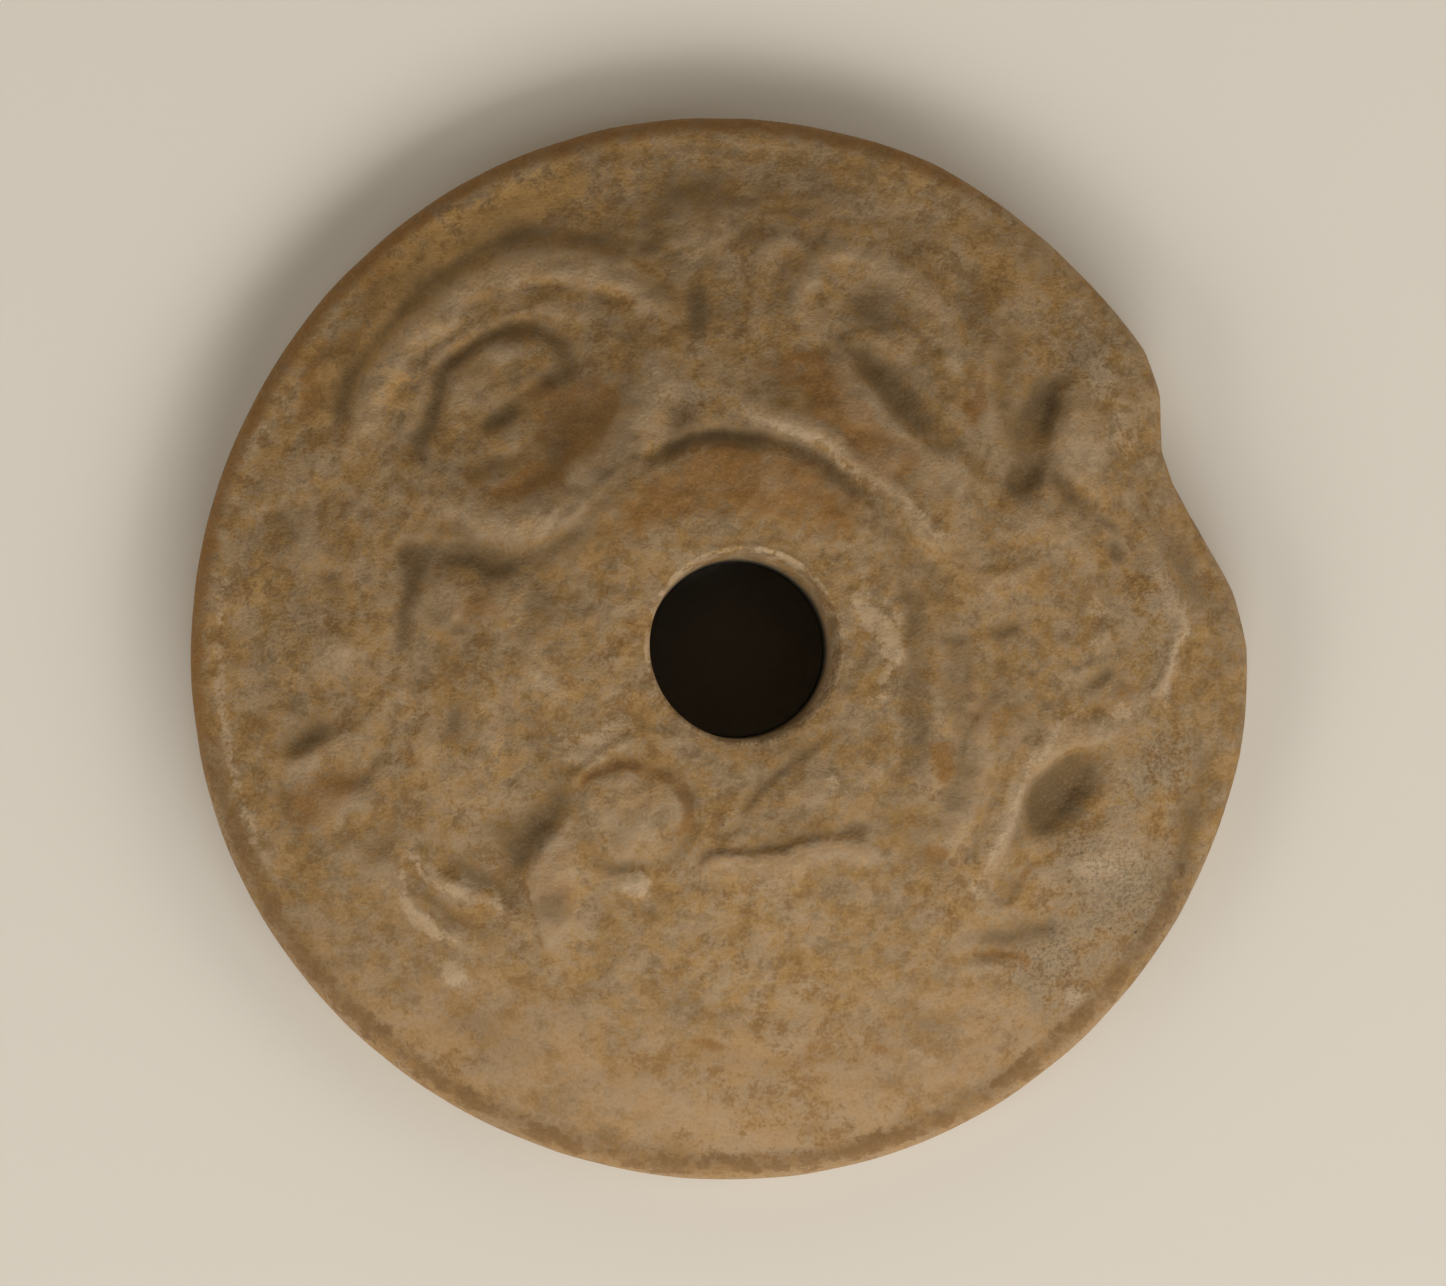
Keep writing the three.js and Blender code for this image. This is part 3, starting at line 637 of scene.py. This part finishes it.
def lay_soil_and_shade(clay):
    """Earth caught more thinly round the pits and in the broad valleys, laid together with painted shade
    there.
    """
    clay.stroke(3.4, 0.4, (19.2, 16), (17.8, 13.6), (17, 11.4), (16.8, 9.4))
    clay.swell(0.4, -12, -10.2, 2.6, 3.0, 30)
    clay.stroke(3.0, 0.4, (-17.6, 5), (-14.6, 4.8), (-12, 4.4), (-9.6, 3.6))
    clay.stroke(3.2, 0.42, (-10, 23.4), (-7, 23.2), (-4.6, 23.8), (-1.6, 25.6), (2.6, 25.4), (5.4, 24.8))
    clay.swell(0.34, -2.4, 13.2, 2.4, 1.8)
    clay.swell(0.36, 8.6, 19.4, 2.4, 1.6)
    clay.stroke(2.2, 0.36, (6.8, 17), (8.8, 14.8), (11, 12.8))
    clay.swell(0.4, 16.8, -16.4, 3.0, 1.6, 5)
    clay.swell(0.4, 13, 0.6, 1.8, 1.0, 10)
    clay.stroke(2.4, 0.42, (10.6, 4), (11.2, 0), (11, -4), (10.2, -8))
    clay.stroke(2.0, 0.36, (-16.4, 2.4), (-14.4, 1.6), (-12.6, 2.2))
    clay.stroke(2.6, 0.5, (26.6, -7), (25.8, -11), (24.6, -14.4))
    clay.stroke(3.4, 0.45, (24.6, 7), (25.8, 4.4), (27.6, 1.4))
    clay.stroke(2.4, 0.4, (13, 24.6), (16.6, 22.4), (19.6, 19.6))
    clay.swell(0.3, 5.1, -26.8, 1.8, 0.8, 10)
    clay.stroke(3.2, 0.6, (-17.4, 6.6), (-13.4, 6), (-9.4, 5), (-7.4, 7.4), (-5.6, 10), (-4.4, 13))
    clay.swell(0.55, -15.6, 2, 1.9, 1.9)
    clay.swell(0.45, -9.4, 1.4, 1.6, 3.4)
    clay.swell(0.7, -9.2, -14.6, 2.3, 2.8)
    clay.swell(0.45, -4.8, -10.2, 2.2, 2.0)
    clay.swell(0.45, -12.2, -9, 2.2, 1.6)
    clay.stroke(3.0, 0.55, (12.4, 1.4), (13.4, -2.4), (14, -6), (12.8, -9.2), (8.2, -10))
    clay.stroke(3.4, 0.5, (17.4, 19), (16.2, 15), (16.2, 10.8), (19.8, 9.8))
    clay.swell(0.5, 12.4, 8.8, 1.6, 1.8)
    clay.swell(0.5, -3.6, 20, 2.8, 1.9, 10)
    clay.swell(0.45, -0.2, 22, 1.7, 1.4)
    clay.swell(0.4, 8.4, 20.4, 3.0, 1.8)
    clay.swell(0.35, -12.8, 14, 1.7, 2.6)
    clay.swell(0.45, 16.4, -10.8, 1.4, 1.6)
    clay.swell(0.4, 21.4, -6, 1.6, 1.2)


def lay_grey(clay):
    """Grey, grainy weathering, mostly on the lower right."""
    clay.swell(0.9, 22.4, -13.6, 5.4, 7, 35)
    clay.swell(0.9, 18.4, -17.6, 4.6, 4.4)
    clay.swell(0.8, 24.4, -6.6, 3.0, 4.6)
    clay.swell(0.5, 10.4, -5, 1.8, 4.4)
    clay.swell(0.5, 24, 2, 3.4, 7)
    clay.swell(0.4, -24, 1.4, 4.6, 6)
    clay.swell(0.5, -2, 14, 3, 3)
    clay.swell(0.5, 21, 16, 4.4, 4.4)
    clay.swell(0.5, 2.4, -5.6, 2.6, 1.6)


# Along the top of the rim, where the rounded edge turns away from the lamps, ochre is laid thickly: the
# clay's orange, and painted shade.
top_arc = bearing_window(66, 188) * (1 - smooth(0.2, 1.6, inset)) * upper
# A band about a millimetre inside the rim on its lower side, laid darker brown and a little ochre.
lower_rim_band = bearing_window(195, 330) * bump((inset - 0.9) / 1.1) * upper
left_edge = bearing_window(176, 200) * bump((inset - 1.7) / 0.6) * upper
stain("ochre", lay_ochre, np.maximum(0.8 * top_arc, 0.25 * lower_rim_band))
well_inside = 15
in_hole = (inset > well_inside) * (row < first_face_row)
# Painted light: the top of the hole's wall and its lip are laid pale, fading out from 0.6 mm to 2.2 mm below
# the lip, as on a lit inner wall.
painted_light_on_lip = in_hole * (1 - smooth(0.6, 2.2, face_z[0] - z))
stain("pale", lay_pale, np.maximum(0.6 * left_edge, 0.6 * painted_light_on_lip))
# The earth and painted shade laid by the cuts and pits, blurred a little.
groove_soil_and_shade = np.zeros((row_count, angle_steps))
groove_soil_and_shade[first_face_row:last_face_row] = softened(face.soil_and_shade, 0.22)
stain("soil_and_shade", lay_soil_and_shade, groove_soil_and_shade)
stain("grey", lay_grey)
stain("fired", lay_fired)
paint("edge", lower_rim_band)
# Painted shade: down the hole, from 1.6 mm below the lip to 4.5 mm, the wall is blackened where little light
# reaches.
paint("deep", smooth(1.6, 4.5, face_z[0] - z) * in_hole)
# The lower flange, which faces the key lamp, is laid pinker and lighter: the clay's tint, and painted light.
paint("flange", smooth(-10, -24, y) * smooth(18, 24, np.hypot(x, y)) * upper)

whorl = bpy.data.objects.new("whorl_body", mesh)
bpy.context.scene.collection.objects.link(whorl)


class Shade:
    """One output of a finish's nodes, so that a sum of readings is written as a sum."""

    tree = None

    def __init__(self, socket):
        self.socket = socket

    @classmethod
    def node(cls, kind, settings=None, inputs=None, output=0):
        """A node of one kind: its settings are set first, then its sockets' values and links."""
        made = cls.tree.nodes.new(kind)
        for name, value in (settings or {}).items():
            setattr(made, name, value)
        for name, value in (inputs or {}).items():
            if isinstance(value, Shade):
                cls.tree.links.new(value.socket, made.inputs[name])
            else:
                made.inputs[name].default_value = value
        return cls(made.outputs[output]) if made.outputs else made

    def other(self, output):
        """Another output of the same node."""
        return Shade(self.socket.node.outputs[output])

    def maths(self, operation, other, flipped=False):
        """This reading and another, or a plain number, joined by one Math node."""
        pair = (other, self) if flipped else (self, other)
        return Shade.node("ShaderNodeMath", {"operation": operation}, dict(enumerate(pair)))

    def __add__(self, other):
        return self.maths("ADD", other)

    def __sub__(self, other):
        return self.maths("SUBTRACT", other)

    def __rsub__(self, other):
        return self.maths("SUBTRACT", other, flipped=True)

    def __mul__(self, other):
        return self.maths("MULTIPLY", other)

    __radd__, __rmul__ = __add__, __mul__

    def step(self, low, high):
        """Nought below low, one above high, and a smooth change between."""
        return Shade.node("ShaderNodeMapRange", {"interpolation_type": "SMOOTHSTEP"},
                          {"Value": self, "From Min": low, "From Max": high})

    def over(self, below, above):
        """The second colour laid over the first, as thickly as this reading says."""
        return Shade.node("ShaderNodeMix", {"data_type": "RGBA"}, {0: self, 6: below, 7: above}, 2)


def reading(name):
    """The number painted under this name on the skin."""
    return Shade.node("ShaderNodeAttribute", {"attribute_name": name}, output=2)


def clay_finish():
    """Tan-brown clay, mottled and stained ochre where handled; darker in its hollows with earth and painted
    shade, with painted shade blackening the hole and painted light on the hole's lip and the lower flange.
    """
    warm_tan, warm_brown = (0.350, 0.200, 0.062, 1), (0.260, 0.142, 0.039, 1)
    cool_tan, cool_brown = (0.355, 0.238, 0.125, 1), (0.240, 0.160, 0.079, 1)
    pink, limy, grey_clay = (0.41, 0.258, 0.132, 1), (0.48, 0.34, 0.20, 1), (0.275, 0.200, 0.118, 1)
    ochre, fired_red = (0.235, 0.106, 0.018, 1), (0.42, 0.235, 0.068, 1)
    rim_brown, soil_and_shade_brown = (0.175, 0.087, 0.022, 1), (0.115, 0.065, 0.019, 1)
    grit, white, painted_bore_shade = (0.04, 0.028, 0.014, 1), (0.70, 0.62, 0.48, 1), (0.006, 0.007, 0.002, 1)

    material = bpy.data.materials.new("worn_clay")
    material.use_nodes = True
    Shade.tree = material.node_tree
    Shade.tree.nodes.clear()
    place = Shade.node("ShaderNodeTexCoord", output=3)

    def cloud(size, detail, rough, low, high):
        """Cloudy noise whose blotches are about size millimetres across, nought below low to one."""
        noise = Shade.node("ShaderNodeTexNoise", inputs={
            "Vector": place, "Scale": 1 / (size * MM), "Detail": detail, "Roughness": rough})
        return noise.step(low, high)

    def dots(spacing, size, kept):
        """Scattered round grains: one in each cell of a random net, and only some are kept."""
        near = Shade.node("ShaderNodeTexVoronoi", inputs={"Vector": place, "Scale": 1 / (spacing * MM)})
        chance = Shade.node("ShaderNodeSeparateColor", inputs={"Color": near.other(1)})
        round_grain = 1 - near.step(0.35 * size / spacing, 0.65 * size / spacing)
        return round_grain * (1 - chance.step(kept, kept + 0.05))

    drift = cloud(7.5, 2.0, 0.5, 0.38, 0.62)
    patchy = cloud(2.4, 4.0, 0.65, 0.38, 0.62)
    mottle = cloud(0.9, 4.0, 0.65, 0.36, 0.64)
    gritty = cloud(0.22, 2.0, 0.7, 0.32, 0.68)
    warmth = cloud(1.6, 5.0, 0.75, 0.40, 0.60)
    ragged = patchy * 0.4 + mottle * 0.35 + gritty * 0.25

    def blotched(name):
        """A painted stain broken into blotches: whole at its heart, ragged at its edge."""
        return (reading(name) * 1.4 + ragged * 1.3 - 1.05).step(0, 0.7)

    pale_clay = drift * 0.4 + patchy * 0.35 + mottle * 0.25
    body = warmth.over(pale_clay.over(cool_brown, cool_tan), pale_clay.over(warm_brown, warm_tan))
    flange = reading("flange")
    body = (ragged.step(0.5, 0.85) * 0.3).over(body, pink)
    # The lower flange laid pinker and lighter: the clay's tint, and painted light.
    body = (flange * (0.2 + 0.25 * patchy)).over(body, pink)
    body = ((1 - ragged).step(0.55, 0.85) * (0.2 + 0.35 * drift)).over(body, ochre)
    grey = reading("grey")
    body = (blotched("fired") * 0.75).over(body, fired_red)
    body = (blotched("grey") * 0.7).over(body, grey_clay)
    body = (blotched("ochre") * (0.8 + 0.15 * warmth)).over(body, ochre)
    # The band inside the lower rim, laid darker brown in ragged blotches.
    body = ((reading("edge") + ragged * 1.7 - 1.3).step(0, 0.6) * 0.8).over(body, rim_brown)
    body = (blotched("pale") * 0.6).over(body, limy)
    body = ((1 - mottle).step(0.5, 1.0) * (0.25 - 0.2 * flange)).over(body, soil_and_shade_brown)
    hollow = reading("hollow")
    # Every hollow of the carving is laid darker brown: partly earth in the grooves, partly painted shade,
    # the wide hollows standing for the soft shade of broad valleys.
    body = (hollow.step(0.0, 0.9) * (0.4 + 0.6 * ragged) * 0.75).over(body, soil_and_shade_brown)
    rubbed = (0 - hollow).step(0.05, 0.6)
    body = (rubbed * 0.3).over(body, limy)
    # Earth and painted shade from the cuts, pits and patches above, laid darker brown.
    body = ((reading("soil_and_shade") * 1.75 + ragged * 1.1 - 0.75).step(0, 1.3) * 0.7).over(body, soil_and_shade_brown)
    body = ((1 - gritty).step(0.4, 1.0) * (0.08 + 0.35 * grey)).over(body, grit)
    body = (gritty.step(0.5, 1.0) * 0.1).over(body, limy)
    body = (dots(0.8, 0.2, 0.2) * (0.2 + 0.5 * grey)).over(body, grit)
    body = (dots(4.0, 0.22, 0.4) * 0.6).over(body, white)
    # Painted shade: the hole's wall nearly black below the lip.
    body = (reading("deep") * 0.98).over(body, painted_bore_shade)

    height = (mottle * 0.6 + gritty * 0.4) * (1 - 0.6 * flange)
    bumped = Shade.node("ShaderNodeBump", inputs={"Strength": 0.6, "Distance": 0.08 * MM, "Height": height})
    shader = Shade.node("ShaderNodeBsdfPrincipled",
                        inputs={"Base Color": body, "Roughness": 0.88 - 0.12 * rubbed, "Normal": bumped})
    Shade.node("ShaderNodeOutputMaterial", inputs={"Surface": shader})
    return material


mesh.materials.append(clay_finish())
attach(whorl, "root")
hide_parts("whorl")

# ---------------------------------------------------------------------------
# The table. A sheet of plain off-white paper under the whorl, which only
# stands in for whatever it is laid on.
# ---------------------------------------------------------------------------
paper = bpy.data.meshes.new("paper")
reach = 1.2
paper.from_pydata([(-reach, -reach, 0), (reach, -reach, 0), (reach, reach, 0), (-reach, reach, 0)],
                  [], [(0, 1, 2, 3)])
sheet = bpy.data.objects.new("paper_floor", paper)
bpy.context.scene.collection.objects.link(sheet)
paper_white = bpy.data.materials.new("paper_white")
paper_white.use_nodes = True
Shade.tree = paper_white.node_tree
paper_shader = Shade.tree.nodes["Principled BSDF"]
paper_shader.inputs["Base Color"].default_value = (0.79, 0.735, 0.645, 1)
paper_shader.inputs["Roughness"].default_value = 0.9
paper.materials.append(paper_white)


# ---------------------------------------------------------------------------
# The studio. Broad soft lamps low on the near side, a weak lift all round,
# and a camera that looks straight down on the carved face.
# ---------------------------------------------------------------------------
def soft_lamp(name, around, above, distance, wide, high, watts):
    """An oblong lamp that faces the whorl from a bearing and a height in degrees."""
    flat, up = turned(above)
    east, north = turned(around)
    lamp = bpy.data.lights.new(name, "AREA")
    lamp.shape = "RECTANGLE"
    lamp.size, lamp.size_y, lamp.energy = wide, high, watts
    holder = bpy.data.objects.new(name, lamp)
    holder.location = (distance * flat * east, distance * flat * north, distance * up)
    holder.rotation_euler = (np.radians(90 - above), 0, np.radians(around + 90))
    bpy.context.scene.collection.objects.link(holder)


soft_lamp("key_lamp", 292, 38, 0.8, 0.75, 0.34, 4.0)
soft_lamp("right_lamp", 350, 34, 0.8, 0.5, 0.34, 1.2)
soft_lamp("left_lamp", 215, 34, 0.8, 0.5, 0.34, 1.3)

world = bpy.data.worlds.new("studio")
world.use_nodes = True
Shade.tree = world.node_tree
Shade.tree.nodes.clear()
toward = Shade.node("ShaderNodeTexCoord", output=0)
steepness = Shade.node("ShaderNodeSeparateXYZ", inputs={"Vector": toward}, output=2)
dim_overhead = (1 - steepness.step(0.6, 0.85)) * 0.54
backdrop = Shade.node("ShaderNodeBackground", inputs={"Color": (1, 0.92, 0.78, 1), "Strength": dim_overhead})
Shade.node("ShaderNodeOutputWorld", inputs={"Surface": backdrop})
bpy.context.scene.world = world
bpy.context.scene.view_settings.view_transform = "Standard"

view_width = 80.33 * MM
camera_height = 0.55
focus_height = 9 * MM
camera = bpy.data.cameras.new("camera")
camera.sensor_width = 36
camera.lens = 36 * (camera_height - focus_height) / view_width
camera.clip_start, camera.clip_end = 0.01, 10
viewer = bpy.data.objects.new("camera", camera)
viewer.location = (0.11 * MM, 0.28 * MM, camera_height)
bpy.context.scene.collection.objects.link(viewer)
bpy.context.scene.camera = viewer
